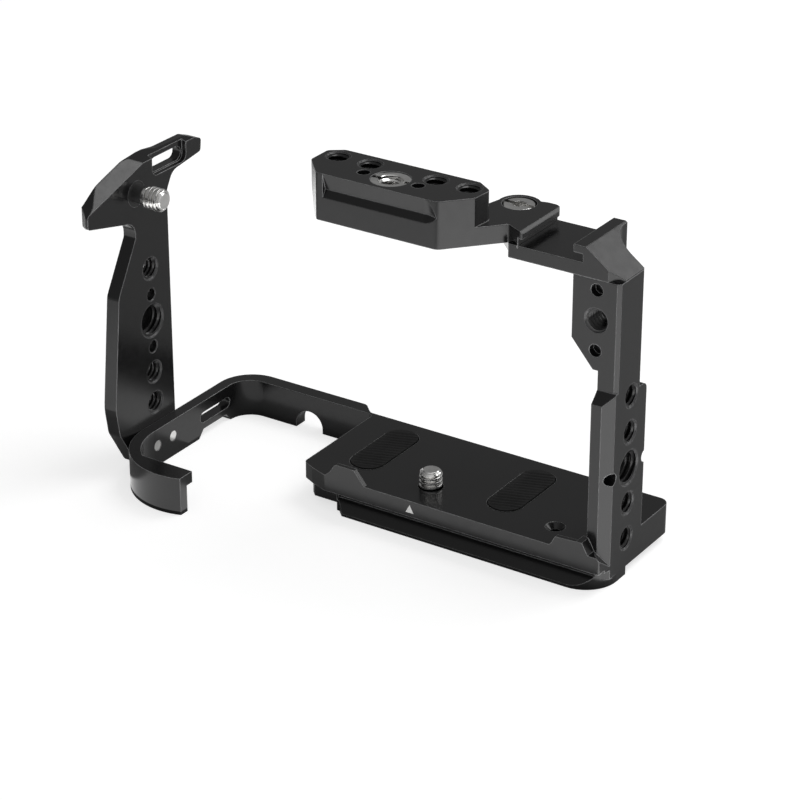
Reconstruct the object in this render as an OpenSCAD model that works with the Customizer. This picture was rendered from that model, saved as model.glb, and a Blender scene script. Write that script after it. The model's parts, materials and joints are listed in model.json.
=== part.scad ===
// Camera cage: a milled frame with a side plate, a top bar and a bolted-on handle block.
// Millimetres. The camera looks along -Y, +Z is up, the underside of the foot is Z = 0.
// The modules are drawn with the camera seat at Z = 0 and moved to the shared origin at the end.

/* [Whole cage] */
// Width from the outer face of the side plate to the right face
cage_width = 146; // [144:0.5:152]
// Depth from the front of the hook to the back of the band
cage_depth = 66; // [65.5:0.5:70]
// Height from the foot to the top of the handle block
cage_height = 100.6; // [99:0.2:106]
// Height of the camera seat above the underside of the foot
seat_height = 11; // [10.6:0.1:12]
// Size of the light machined edges
edge_chamfer = 0.5; // [0.3:0.1:0.7]

/* [Base plate] */
// Length of the base plate along X
base_length = 93.7; // [91:0.1:96]
// Depth of the base plate, the size of a quick release dovetail
base_depth = 38; // [37.6:0.1:38.4]
// Step from the back of the band to the back of the base plate
base_step = 3.6; // [3:0.1:4.2]
// Thickness of the base plate beside the dovetail foot
base_thickness = 8.6; // [8.2:0.1:9.4]
// Plan radius of the front right corner of the foot
base_corner = 9.5; // [7:0.5:11]
// Plan radius of the back right corner
base_back_corner = 3; // [2:0.5:5]
// Height of the front face above the dovetail groove
groove_top = 4.7; // [4.2:0.1:5.2]
// Depth of the dovetail groove
groove_depth = 3; // [2.6:0.1:3.4]
// Height of the straight lip under the groove
foot_lip = 0.8; // [0.6:0.1:1.2]
// Distance from the left end of the base plate to the foot
foot_start = 14.5; // [12:0.5:17]
// Length of the relief at the right end of the foot
foot_relief = 10; // [8:0.5:13]
// Depth of the foot that stays at the right end
foot_corner_depth = 14.3; // [13:0.1:16]

/* [Seat] */
// Width of a rubber pad
pad_width = 10.2; // [9:0.2:11]
// Length of a rubber pad
pad_length = 26; // [22:0.5:27]
// Thickness of a rubber pad
pad_thickness = 1.4; // [1:0.1:1.8]
// Height of a rubber pad above the seat
pad_proud = 0.4; // [0.2:0.1:0.6]
// Distance from the left end of the base plate to the left pad
pad_left_x = 14.4; // [13.5:0.1:15.5]
// Distance from the left end of the base plate to the right pad
pad_right_x = 58; // [57:0.1:59]
// Distance from the front of the base plate to the middle of the pads
pad_y = 21.2; // [20:0.1:22]
// Distance from the left end of the base plate to the camera screw
screw_x = 36.3; // [35:0.1:38]
// Distance from the front of the base plate to the camera screw
screw_y = 10.4; // [10:0.1:12]
// Height of the raised lip at the left
lip_height = 4; // [3:0.1:5]
// Thickness of the raised lips
lip_thickness = 1.3; // [1:0.1:1.7]
// Diameter of the countersunk hole beside the column
sink_diameter = 5.4; // [4.6:0.1:6]
// Diameter of the small hole under the countersink
sink_bore = 2.6; // [2.2:0.1:3]

/* [Band and hook] */
// Wall of the band at the left side
band_side = 3.4; // [3:0.1:4]
// Wall of the band at the back
band_back = 4.2; // [3.8:0.1:4.8]
// Outside radius of the back corner of the band
band_corner = 10.5; // [8:0.5:13]
// Outside radius of the hook
hook_radius = 19.5; // [18:0.5:20.5]
// Distance from the inside of the side plate to the end of the hook
hook_reach = 26.3; // [24:0.1:28]
// Inside radius of the hook wall
hook_inner_radius = 16.6; // [16:0.1:17]
// Thickness of the wide top flange of the hook
hook_flange = 3.3; // [2.8:0.1:3.8]
// Width of the flange at the middle of the hook
hook_flange_width = 6.6; // [5.6:0.1:7.2]
// Radius of the arch under the back wall
arch_radius = 4.5; // [3.5:0.1:5]
// Length of the slot in the side of the band
band_slot_length = 14; // [11:0.5:15]
// Height of the slot in the side of the band
band_slot_height = 3.2; // [2.6:0.1:3.5]

/* [Column] */
// Thickness of the lower column
column_thickness = 5.6; // [5.2:0.1:6.4]
// Depth of the lower column
column_depth = 18.6; // [18:0.1:19.6]
// Height of the lower column above the seat
column_shoulder = 41.6; // [41:0.1:43]
// Thickness of the upper column
upper_thickness = 13.4; // [12.4:0.1:14.4]
// Depth of the upper column
upper_depth = 11.9; // [11.4:0.1:12.6]
// Width of the slanted front edge of the lower column
column_chamfer = 2.6; // [2.2:0.1:3]
// Distance between the holes in the right face
hole_pitch = 10.2; // [10:0.05:10.4]

/* [Side plate] */
// Thickness of the side plate
plate_thickness = 4.1; // [3.8:0.1:4.8]
// Length of the strap slot in the arm
strap_length = 13.4; // [12.4:0.1:14]
// Height of the strap slot in the arm
strap_height = 4; // [3.4:0.1:4.2]
// Diameter of the two plate screws
plate_screw_diameter = 3; // [2.5:0.1:3.4]

/* [Top bar and cold shoe] */
// Thickness of the bar under the shoe
bar_thickness = 3.7; // [3.4:0.1:4]
// Width of the shoe between its side walls
shoe_width = 18.6; // [18.4:0.1:19]
// Opening of the shoe between its lips
shoe_opening = 14.4; // [13:0.1:15]
// Gap of the shoe under its lips
shoe_gap = 2.2; // [2:0.1:2.4]
// Thickness of the shoe lips
shoe_lip = 2.1; // [1.9:0.1:2.3]
// Depth of the shoe along Y
bar_depth = 20; // [19:0.1:20.6]
// Width of the top of the shoe ridge
ridge_width = 3.4; // [3:0.1:4]
// Depth of the pocket that keys the handle arm
key_depth = 0.7; // [0.5:0.1:0.9]

/* [Handle block] */
// Length of the block along X
block_length = 49; // [48:0.5:50]
// Depth of the block
block_depth = 17; // [16.4:0.1:17.6]
// Height of the top of the block above the column
block_rise = 15.9; // [15.2:0.1:16.2]
// Height of the lower front face of the block
block_face = 6.4; // [5.8:0.1:6.8]
// Depth of the groove along the front
block_groove = 1.2; // [0.8:0.1:1.3]
// Radius of the round lobe under the block screw
lobe_radius = 5.6; // [5.4:0.1:6]
// Spacing of the four threaded holes from the middle insert
block_hole_spacing = 9.9; // [9.7:0.1:10.1]
// Distance of the locating holes from the middle insert
block_pin_spacing = 8.2; // [8:0.1:8.6]

/* [Screws and threads] */
// Major diameter of the quarter inch thread
quarter_thread = 6.35; // [6.25:0.05:6.45]
// Major diameter of the three eighths inch thread
three_eighths_thread = 9.53; // [9.4:0.01:9.6]
// Diameter of the locating holes
pin_diameter = 3.4; // [3:0.1:3.8]
// Height of the camera screw above the seat
camera_screw_proud = 5; // [4.6:0.1:7.5]
// Diameter of the head of the camera screw
camera_head_diameter = 12; // [11:0.5:13]
// Length of the side screw inside the cage
side_screw_proud = 9.5; // [8:0.1:10.5]
// Head diameter of the side screw
side_head_diameter = 9.4; // [8.6:0.1:9.8]
// Head diameter of the block screw
block_head_diameter = 8.9; // [8:0.1:9.1]
// Diameter of the thin neck of the camera screw
camera_neck = 5; // [4.4:0.1:5.2]
// Width of the light ring at the mouth of a hole
hole_mouth = 0.2; // [0.1:0.1:0.3]
// Radial clearance around a turning screw
turn_gap = 0.1; // [0.06:0.01:0.15]

/* [Hidden] */
// Overrun of every cut
over = 1;
// Facets of round parts
$fn = 96;
// Largest turn between two points of a rounded outline, in degrees
turn_step = 9;
anodised = [0.07, 0.07, 0.075];
steel = [0.78, 0.78, 0.76];
rubber = [0.03, 0.03, 0.03];
nylon = [0.05, 0.05, 0.05];

// Fixed details that follow the main sizes
column_set = 3.3;
column_hole_set = 10.7;
column_middle = 20.2;
upper_step = 2.9;
upper_chamfer = 0.9;
shoulder_round = 2;
front_hole_drop = 11;
shoulder_slope = 2.4;
upper_under = 49.2;
upper_flat = 1.5;
upper_rise = 7.4;
scoop_set = 0.7;
scoop_tilt = 48;
scoop_heading = 39;
scoop_reach = 12;
undercut = 2.7;
undercut_step = 2.2;
corner_cut = 3.7;
upper_corner = 0.4;
corner_drop = 2;
corner_round = 1.6;
step_round = 2;
step_length = 5;
step_start = 1.5;
inner_corner = 6.7;
lip_foot = 9.2;
lip_rise = 3.3;
lip_top = 6;
lip_round = 3;
right_lip_length = 9;
lip_run = 0.4;
web_gap = 0.8;
arch_set = 15.7;
slot_set = 7.7;
band_slot_z = 5;
plate_screw_set = 21.2;
plate_screw_spacing = 7.1;
plate_screw_z = 4.9;
plate_head_diameter = 5.6;
plate_head_height = 1.8;
tip_recess = 0.1;
sink_set = 18.2;
sink_inset = 9.1;
camera_head_recess = 1;
camera_head_height = 3.2;
head_gap = 0.3;
thread_tip = 0.8;
neck_rise = 0.1;
coin_slot = 1.4;
blind_depth = 8;
pin_depth = 2.2;
shoe_set = 10.8;
ridge_lip = 2.7;
bar_overlap = 3.3;
bar_corner_x = 3.5;
bar_corner_y = 2.9;
bar_back_round = 6;
tongue_round = 2.5;
tongue_chamfer = 0.7;
tenon_width = 8.4;
tenon_depth = 5.4;
tenon_height = 7;
bar_screw_set = 6.7;
bar_screw_spacing = 4.2;
bar_screw_drop = 3.5;
bar_screw_diameter = 2;
bar_head_diameter = 3.8;
bar_head_height = 2;
block_set = 12;
block_gap = 9.8;
block_cut = 6.8;
block_hole_set = 4.7;
insert_set = 6.6;
insert_length = 8.5;
insert_flange = 0.9;
insert_recess = 0.2;
insert_diameter = 10.5;
insert_turn = 5;
diag_set = 6.6;
diag_run = 12.4;
diag_slope = 1.129;
tongue_step = 0.9;
tongue_inset = 0.4;
tongue_width = 4.6;
lobe_set = 8.85;
lobe_inset = 4.8;
block_head_height = 2.6;
head_recess = 0.2;
block_shank = 5;
cutter_radius = 7;
side_set = 20.7;
side_rise = 3.4;
side_head_height = 2.2;
sleeve_diameter = 7.2;
sleeve_nose = 4.8;
sleeve_bore = 3.4;
sleeve_proud = 3;
plate_set = 7.9;
plate_width = 25.9;
plate_drop = 9.5;
plate_round = 4;
plate_hole_set = 25.3;
plate_middle = 30.7;
plate_pin_spacing = 7.8;
plate_skin = 0.6;
arm_length = 49.7;
arm_rise = 12.8;
arm_round = 1;
tip_drop = 23.4;
throat_set = 19.6;
throat_drop = 4.8;
throat_step = 4.5;
throat_round = 1.5;
facet_slope = 17;
facet_fall = 30;
facet_rise = 3.7;
ledge_rise = 11.1;
ledge_fall = 21;
tip_cut = 0.8;
tip_turn = 39;
strap_set = 14.3;
strap_rise = 8.3;
strap_sill = 5.8;
strap_pocket = 14.9;
strap_rim = 1.4;

// Main planes, with the inner face of the side plate at X = 0 and the back of the band at Y = 0
right_face = cage_width - plate_thickness;
front_end = -cage_depth;
top_end = cage_height - seat_height;
column_top = top_end - block_rise;
foot_under = -seat_height;
groove_neck = seat_height - groove_top - groove_depth - foot_lip;
base_left = right_face - base_length;
base_rear = -base_step;
base_front = base_rear - base_depth;

// Ends of the round corner of the foot
corner_start = [right_face - base_corner, base_front];
corner_end = [right_face, base_front + base_corner];

// Dovetail foot: the straight neck of the groove and the slanted flank under it
groove_under = groove_top + groove_neck;
flank_under = groove_under + groove_depth;
foot_left = base_left + foot_start;
foot_end = foot_left - groove_depth;
foot_step_y = base_front + foot_corner_depth;

// Column, from the base up
column_left = right_face - column_thickness;
web_end = right_face - column_chamfer - web_gap;
column_front = base_front + column_set;
column_rear = column_front + column_depth;
upper_left = right_face - upper_thickness;
upper_front = column_front + upper_step;
upper_rear = upper_front + upper_depth;
column_hole_y = column_front + column_hole_set;
column_hole_z = column_middle;
front_hole_x = right_face - upper_thickness * 0.49;
front_hole_z = column_top - front_hole_drop;

// Top bar and cold shoe
shoe_floor = column_top + bar_thickness;
lip_under = shoe_floor + shoe_gap;
shoe_top = lip_under + shoe_lip;
arm_under = shoe_floor - key_depth;
shoe_right = right_face - shoe_set;
shoe_left = shoe_right - shoe_width;
ridge_left = shoe_right - ridge_lip;
ridge_right = ridge_left + ridge_width;
tongue_right = ridge_left - shoe_opening;
tongue_front = upper_front - tongue_step;
bar_rear = upper_front + bar_depth;
tenon_left = right_face - upper_thickness * 0.5 - tenon_width / 2;
tenon_front = upper_front + upper_depth * 0.22;
tenon_rear = tenon_front + tenon_depth;
tenon_under = column_top - tenon_height;
bar_screw_x = [for (side = [-1, 1]) right_face - bar_screw_set + side * bar_screw_spacing / 2];
bar_screw_z = column_top - bar_screw_drop;

// Handle block
block_front = upper_front - block_set;
block_rear = block_front + block_depth;
block_left = shoe_left - block_gap - block_length;
block_right = block_left + block_length;
diag_x = block_right - diag_set;
insert_x = block_left + block_length / 2;
insert_y = block_front + insert_set;
block_hole_y = block_rear - block_hole_set;
groove_low = arm_under + block_face;
lobe_x = shoe_left - lobe_set;
lobe_y = bar_rear - lobe_inset;
head_seat = shoe_top - block_head_height - head_recess;

// Seat fittings
camera_x = base_left + screw_x;
camera_y = base_front + screw_y;
pads_y = base_front + pad_y;
pad_pocket = pad_thickness - pad_proud;
sink_x = right_face - sink_set;
sink_y = base_front + sink_inset;
head_top = foot_under + camera_head_recess + camera_head_height;
head_ceiling = head_top + turn_gap;
arch_x = band_corner + arch_set;
slot_y = -band_corner - slot_set;
screw_radius = quarter_thread / 2;
big_radius = three_eighths_thread / 2;

// Side plate
plate_outer = -plate_thickness;
plate_screw_y = [for (k = [0, 1]) front_end + plate_screw_set + k * plate_screw_spacing];
plate_front = front_end + plate_set;
plate_rear = plate_front + plate_width;
plate_hole_y = front_end + plate_hole_set;
throat_y = front_end + throat_set;
tip_z = top_end - tip_drop;
throat_z = tip_z - throat_drop;
side_y = front_end + side_set;
side_z = tip_z + side_rise;
strap_y = front_end + arm_length - strap_set;
strap_z = tip_z + strap_rise;
side_head_top = plate_outer + side_head_height;

// Plan of the base plate: x, y and corner radius
base_plan = [
    [base_left, base_rear, 0],
    [base_left, base_front + corner_cut, corner_round],
    [base_left + corner_cut, base_front + corner_cut * 0.5, corner_round],
    [base_left + corner_cut * 2.4, base_front, corner_round],
    [right_face, base_front, upper_corner],
    [right_face, base_rear, base_back_corner],
];

// Cut at the left end of the base plate under its upper tier
undercut_plan = [
    [base_left - over, base_front - over],
    [foot_left + over, base_front - over],
    [foot_left, base_front],
    [foot_left - undercut_step, base_front + undercut_step],
    [base_left + undercut + corner_round, base_front + undercut_step],
    [base_left + undercut, base_front + undercut_step + corner_round],
    [base_left + undercut, base_front + base_depth * 0.6],
    [base_left - over, base_front + base_depth * 0.6],
];

// Plan of the back wall of the band, with the step to the base plate
wall_plan = [
    [band_corner, 0, 0],
    [band_corner, -band_back, 0],
    [base_left, -band_back, step_round],
    [base_left, -band_back - step_round * 2, 0],
    [base_left + step_length, -band_back - step_round * 2, 0],
    [base_left + step_length, base_rear, 0],
    [base_left - step_start, base_rear, step_round],
    [base_left - step_start - base_step, 0, step_round],
];

// Raised lips on the front of the seat: x, z and corner radius
left_lip = [
    [base_left + lip_foot, -edge_chamfer, 0],
    [base_left + lip_foot, 0, 0],
    [base_left + lip_foot + lip_rise * 0.45, lip_height * 0.35, lip_round],
    [base_left + lip_foot + lip_rise, lip_height, lip_round * 0.4],
    [base_left + lip_foot + lip_rise + lip_top, lip_height, lip_round * 0.3],
    [base_left + lip_foot + lip_rise * 2 + lip_top, 0, 0],
    [base_left + lip_foot + lip_rise * 2 + lip_top, -edge_chamfer, 0],
];
right_lip = [
    [column_left - right_lip_length, -edge_chamfer, 0],
    [column_left - right_lip_length, 0, 0],
    [column_left - right_lip_length + lip_height * 0.4, lip_height * 0.7, 0],
    [column_left + lip_run, lip_height * 0.8, 0],
    [web_end, 0, 0],
    [web_end, -edge_chamfer, 0],
];

// Front view of the web between the right lip and the column
web_view = [
    [column_left - lip_thickness, -edge_chamfer],
    [column_left - lip_thickness, lip_height * 0.8],
    [column_left + lip_run, lip_height * 0.8],
    [web_end, 0],
    [web_end, -edge_chamfer],
];

// Front view of the upper column
upper_view = [
    [upper_left, column_top],
    [right_face, column_top],
    [right_face, column_shoulder],
    [column_left, column_shoulder],
    [column_left, upper_under],
    [column_left - upper_flat, upper_under],
    [upper_left, upper_under + upper_rise],
];

// Plan of the upper column
upper_plan = [
    [upper_left, upper_front],
    [right_face - upper_chamfer, upper_front],
    [right_face, upper_front + upper_chamfer],
    [right_face, upper_rear],
    [upper_left, upper_rear],
];

// Side view of the lower column: y, z and corner radius
lower_view = [
    [column_front, -base_thickness, 0],
    [column_front, column_shoulder - edge_chamfer, 0],
    [upper_front, column_shoulder + shoulder_slope, 0],
    [upper_rear, column_shoulder + shoulder_slope * 0.7, 0],
    [upper_rear, column_shoulder, 0],
    [column_rear, column_shoulder, shoulder_round],
    [column_rear, -base_thickness, 0],
];

// Plan of the lower column
lower_plan = [
    [column_left, column_front],
    [right_face - column_chamfer, column_front],
    [right_face, column_front + column_chamfer],
    [right_face, column_rear],
    [column_left, column_rear],
];

// Plan of the corner in front of the column
scoop_plan = [
    [web_end, base_front - over],
    [web_end, column_front],
    [right_face - column_chamfer, column_front],
    [right_face + over, column_front + column_chamfer + over],
    [right_face + over, base_front - over],
];

// Side plate: y, z and corner radius
plate_outline = [
    [plate_rear, -plate_drop, plate_round],
    [plate_rear, tip_z, plate_round],
    [front_end + arm_length * 0.736, tip_z + arm_rise * 0.375, plate_round],
    [front_end + arm_length * 0.992, tip_z + arm_rise * 0.5, arm_round],
    [front_end + arm_length, tip_z + arm_rise * 0.78, arm_round],
    [front_end + arm_length * 0.9, tip_z + arm_rise * 0.93, arm_round * 2],
    [front_end + arm_length * 0.664, tip_z + arm_rise * 0.94, plate_round * 2],
    [front_end + arm_length * 0.553, tip_z + arm_rise, plate_round * 2],
    [front_end + arm_length * 0.382, tip_z + arm_rise * 0.945, plate_round * 3],
    [front_end + arm_length * 0.171, tip_z + arm_rise * 0.68, plate_round * 2],
    [front_end + arm_length * 0.064, tip_z + arm_rise * 0.4, arm_round],
    [front_end, tip_z + arm_rise * 0.28, arm_round],
    [front_end, tip_z, arm_round],
    [throat_y, throat_z, plate_round],
    [throat_y, throat_z - throat_step, throat_round],
    [plate_front + plate_width * 0.135, throat_z * 0.69, plate_round],
    [plate_front, throat_z * 0.163, plate_round * 3],
    [plate_front + plate_width * 0.05, throat_z * 0.033, plate_round],
    [plate_front + plate_width * 0.313, -plate_drop, plate_round * 0.75],
];

// Plan of the block
block_plan = [
    [block_left, block_front + block_cut, corner_round],
    [block_left + block_cut * 0.9, block_front, corner_round],
    [diag_x, block_front, corner_round * 1.5],
    [block_right, block_front + (block_right - diag_x) * diag_slope, corner_round * 0.6],
    [block_right + edge_chamfer, block_rear - block_cut * 0.5, corner_round],
    [block_right - block_cut * 0.66, block_rear, corner_round],
    [block_left + block_cut * 0.56, block_rear, corner_round],
    [block_left, block_rear - block_cut * 0.4, corner_round],
];

// Plan of the arm and tongue, without the lobe
arm_plan = [
    [diag_x, block_front, corner_round * 1.5],
    [diag_x + diag_run, block_front + diag_run * diag_slope, edge_chamfer],
    [tongue_right, tongue_front, edge_chamfer],
    [tongue_right, bar_rear - tongue_inset, tongue_round],
    [tongue_right - tongue_width, bar_rear - tongue_inset, corner_round],
    [lobe_x, lobe_y + lobe_radius * 0.5, 0],
    [lobe_x - lobe_radius * 0.97, lobe_y, 0],
    [block_right - block_cut, block_rear - edge_chamfer, 0],
    [diag_x - block_cut * 0.5, block_rear - block_cut, 0],
];

// Left part of the bar under the arm, without the lobe
bar_plan = [
    [shoe_left - bar_overlap, upper_front, corner_round * 0.6],
    [right_face - bar_corner_x, upper_front, 0],
    [right_face, upper_front + bar_corner_y, 0],
    [right_face, upper_rear, 0],
    [ridge_right + edge_chamfer, upper_rear, bar_back_round],
    [ridge_right + edge_chamfer, bar_rear, 0],
    [lobe_x, bar_rear, corner_round],
    [lobe_x - lobe_radius * 0.7, lobe_y - lobe_radius * 0.7, 0],
    [shoe_left - bar_overlap, upper_front + corner_round * 1.2, 0],
];

// Front view of the shoe: floor, right lip, ridge and slope
bar_view = [
    [lobe_x - lobe_radius * 2, column_top],
    [right_face, column_top],
    [right_face, column_top + edge_chamfer],
    [ridge_right, shoe_top],
    [ridge_left, shoe_top],
    [ridge_left, lip_under],
    [shoe_right, lip_under],
    [shoe_right, shoe_floor],
    [lobe_x - lobe_radius * 2, shoe_floor],
];

// Points of the arc that rounds the corner at b between a and c
function unit(v) = v / norm(v);
function arc_points(a, b, c, r) =
    let (
        u = unit(a - b),
        v = unit(c - b),
        open_angle = acos(max(-1, min(1, u * v))),
        reach = r / tan(open_angle / 2),
        side = u.x * v.y - u.y * v.x > 0 ? -1 : 1,
        middle = b + unit(u + v) * r / sin(open_angle / 2),
        spoke = b + u * reach - middle,
        turn = (180 - open_angle) * side,
        steps = max(2, ceil(abs(turn) / turn_step))
    )
    [for (k = [0:steps])
        let (w = turn * k / steps)
        middle + [spoke.x * cos(w) - spoke.y * sin(w), spoke.x * sin(w) + spoke.y * cos(w)]
    ];

// An outline of [x, y, radius] points as a list of points
function flat(p) = [p.x, p.y];
function rounded(outline) = [
    for (k = [0:len(outline) - 1])
        let (
            before = flat(outline[(k + len(outline) - 1) % len(outline)]),
            here = outline[k],
            after = flat(outline[(k + 1) % len(outline)])
        )
        each (here.z == 0 ? [flat(here)] : arc_points(before, flat(here), after, here.z))
];

// Extrude a y, z outline along X from x to x + length
module along_x(outline, x, length) {
    translate([x, 0, 0])
        rotate([90, 0, 90])
            linear_extrude(length)
                polygon(outline);
}

// Extrude an x, z outline along Y from y to y + length
module along_y(outline, y, length) {
    translate([0, y + length, 0])
        rotate([90, 0, 0])
            linear_extrude(length)
                polygon(outline);
}

// Box between two corners
module box(a, b) {
    translate(a)
        cube(b - a);
}

// Bore along X with a light countersink at the end that opens to +X
module bore_x(at, radius, depth, sunk = true) {
    translate([at.x - depth, at.y, at.z])
        rotate([0, 90, 0])
            cylinder(h = depth + over, r = radius);
    if (sunk)
        translate([at.x - hole_mouth, at.y, at.z])
            rotate([0, 90, 0])
                cylinder(h = hole_mouth + over, r1 = radius, r2 = radius + hole_mouth + over);
}

// Bore along Z with a light countersink at the top
module bore_z(at, radius, depth, sunk = true) {
    translate([at.x, at.y, at.z - depth])
        cylinder(h = depth + over, r = radius);
    if (sunk)
        translate([at.x, at.y, at.z - hole_mouth])
            cylinder(h = hole_mouth + over, r1 = radius, r2 = radius + hole_mouth + over);
}

// Bore along Y with a light countersink at the front
module bore_y(at, radius, depth, sunk = true) {
    translate([at.x, at.y + depth, at.z])
        rotate([90, 0, 0])
            cylinder(h = depth + over, r = radius);
    if (sunk)
        translate([at.x, at.y + hole_mouth, at.z])
            rotate([90, 0, 0])
                cylinder(h = hole_mouth + over, r1 = radius, r2 = radius + hole_mouth + over);
}

// Obround block standing on its middle point
module obround(width, length, height) {
    for (side = [-1, 1])
        translate([0, side * (length - width) / 2, 0])
            cylinder(h = height, d = width);
    translate([-width / 2, -(length - width) / 2, 0])
        cube([width, length - width, height]);
}

// Base plate with its dovetail foot
module base_body() {
    difference() {
        union() {
            translate([0, 0, -base_thickness])
                linear_extrude(base_thickness)
                    polygon(rounded(base_plan));
            intersection() {
                translate([0, 0, foot_under])
                    linear_extrude(seat_height - base_thickness)
                        polygon(rounded(base_plan));
                box([foot_end, base_front, foot_under], [right_face, base_rear, 0]);
            }
        }
        front_groove();
        rear_groove();
        // Relief behind the right end of the foot
        box([right_face - foot_relief, foot_step_y, foot_under - over],
            [right_face + over, base_rear + over, -base_thickness]);
        // Lower tier at the left end
        translate([0, 0, foot_under - over])
            linear_extrude(over + seat_height - groove_top)
                polygon(undercut_plan);
        foot_corner_cut();
    }
}

// Cut of one dovetail groove, seen from the side
function groove_shape(face, inward) = [
    [face - inward * over, -groove_top],
    [face + inward * groove_depth, -groove_top],
    [face + inward * groove_depth, -groove_under],
    [face, -flank_under],
    [face - inward * over, -flank_under],
];

module front_groove() {
    along_x(groove_shape(base_front, 1), foot_end, right_face - foot_end + over);
}

// Round corner of the foot under the square corner of the seat
module foot_corner_cut() {
    intersection() {
        along_x([
            [base_front - over, foot_under - over],
            [base_front - over, -groove_top],
            [corner_end.y, -groove_top - corner_drop],
            [corner_end.y, foot_under - over],
        ], corner_start.x, base_corner + over);
        translate([0, 0, foot_under - over])
            linear_extrude(seat_height)
                polygon(concat(arc_points(corner_start, [right_face, base_front], corner_end, base_corner), [
                    [right_face + over, corner_end.y],
                    [right_face + over, base_front - over],
                    [corner_start.x, base_front - over],
                ]));
    }
}

module rear_groove() {
    along_x(groove_shape(base_rear, -1), foot_end, right_face - foot_relief - foot_end);
}

// Raised lips along the front of the seat
module front_lips() {
    along_y(rounded(left_lip), base_front, lip_thickness);
    along_y(rounded(right_lip), base_front, lip_thickness);
    // Web between the right lip and the column
    along_y(web_view, base_front, column_set + edge_chamfer);
}

// Band around the grip, from the base plate to the hook
module band() {
    translate([0, 0, foot_under])
        linear_extrude(seat_height)
            difference() {
                union() {
                    translate([band_corner, -band_corner])
                        circle(r = band_corner);
                    translate([0, -cage_depth + hook_radius])
                        square([band_corner, cage_depth - hook_radius - band_corner]);
                    polygon(rounded(wall_plan));
                }
                translate([band_side + inner_corner, -band_back - inner_corner])
                    circle(r = inner_corner);
                translate([band_side, -cage_depth + hook_radius - over])
                    square([band_corner, cage_depth - hook_radius - band_back - inner_corner + over]);
                translate([band_side + inner_corner, -cage_depth])
                    square([band_corner * 2, cage_depth - band_back]);
            }
}

// Hook in front of the grip with its wide top flange
module hook() {
    intersection() {
        box([0, front_end, foot_under], [hook_reach, -cage_depth + hook_radius, 0]);
        difference() {
            translate([hook_radius, -cage_depth + hook_radius, foot_under])
                cylinder(h = seat_height, r = hook_radius);
            translate([band_side + hook_inner_radius, -cage_depth + hook_radius, foot_under - over])
                cylinder(h = seat_height - hook_flange + over, r = hook_inner_radius);
            translate([band_side + hook_inner_radius, -cage_depth + hook_radius, foot_under])
                linear_extrude(seat_height + over)
                    difference() {
                        circle(r = hook_inner_radius);
                        translate([-hook_inner_radius, -hook_inner_radius])
                            square([hook_inner_radius * 2, hook_inner_radius - hook_radius
                                + hook_flange_width]);
                    }
        }
    }
}

// Column at the right end, up to the top bar
module column() {
    intersection() {
        along_y(upper_view, upper_front, upper_depth);
        linear_extrude(column_top)
            polygon(upper_plan);
    }
    intersection() {
        along_x(rounded(lower_view), column_left, column_thickness);
        translate([0, 0, -base_thickness])
            linear_extrude(column_top)
                polygon(lower_plan);
    }
}

// Hole pattern in the right face: four quarter inch threads around a larger one with two locating notches
module right_face_holes() {
    for (step = [-2, -1, 1, 2])
        bore_x([right_face, column_hole_y, column_hole_z + step * hole_pitch], screw_radius,
            step == -2 ? blind_depth : column_thickness + over);
    bore_x([right_face, column_hole_y, column_hole_z], big_radius, column_thickness + over);
    for (side = [-1, 1])
        bore_x([right_face, column_hole_y + side * block_pin_spacing, column_hole_z], pin_diameter / 2,
            blind_depth * 0.5, false);
}

// Holes in the front of the upper column
module front_face_holes() {
    bore_y([front_hole_x, upper_front, front_hole_z], screw_radius, upper_depth + over);
    for (side = [-1, 1])
        bore_y([front_hole_x, upper_front, front_hole_z + side * block_pin_spacing], pin_diameter / 2,
            pin_depth, false);
}

// Slots and openings of the band
module band_cuts() {
    // Arch under the back wall
    translate([arch_x, over, foot_under + arch_radius * 0.31])
        rotate([90, 0, 0])
            cylinder(h = band_back + over * 2, r = arch_radius);
    box([arch_x - arch_radius, -band_back - over, foot_under - over],
        [arch_x + arch_radius, over, foot_under + arch_radius * 0.31]);
    // Slot in the side wall
    translate([-over, slot_y, -band_slot_z])
        rotate([0, 90, 0])
            obround(band_slot_height, band_slot_length, band_side + over * 2);
    // Relief under the slot
    along_x([
        [slot_y - band_slot_length * 0.56, foot_under - over],
        [slot_y - band_slot_length * 0.56, foot_under],
        [slot_y - band_slot_length * 0.4, -base_thickness],
        [slot_y + band_slot_length * 0.36, -base_thickness],
        [slot_y + band_slot_length * 0.52, foot_under],
        [slot_y + band_slot_length * 0.52, foot_under - over],
    ], -over, band_side + over * 2);
    // Threads for the two plate screws
    for (y = plate_screw_y)
        bore_x([band_side, y, -plate_screw_z], plate_screw_diameter / 2, band_side + over, false);
}

// Holes and pockets of the seat
module seat_cuts() {
    bore_z([camera_x, camera_y, 0], screw_radius + turn_gap, seat_height + over);
    translate([camera_x, camera_y, foot_under - over])
        cylinder(h = head_ceiling - foot_under + over, r = camera_head_diameter / 2 + head_gap);
    for (x = [pad_left_x, pad_right_x])
        translate([base_left + x, pads_y, -pad_pocket])
            obround(pad_width, pad_length, pad_pocket + over);
    translate([sink_x, sink_y, foot_under - over])
        cylinder(h = seat_height + over * 2, d = sink_bore);
    translate([sink_x, sink_y, -(sink_diameter - sink_bore) / 2])
        cylinder(h = (sink_diameter - sink_bore) / 2, d1 = sink_bore, d2 = sink_diameter);
    translate([sink_x, sink_y, 0])
        cylinder(h = over, d = sink_diameter);
}

// Mortise for the top bar and the bores of its two screws
module bar_joint_cuts() {
    box([tenon_left, tenon_front, tenon_under], [tenon_left + tenon_width, tenon_rear, column_top + over]);
    for (x = bar_screw_x)
        translate([x, upper_rear + over, bar_screw_z])
            rotate([90, 0, 0]) {
                cylinder(h = over + upper_rear - tenon_front, d = bar_screw_diameter);
                cylinder(h = over + bar_head_height + edge_chamfer, d = bar_head_diameter);
            }
}

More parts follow.
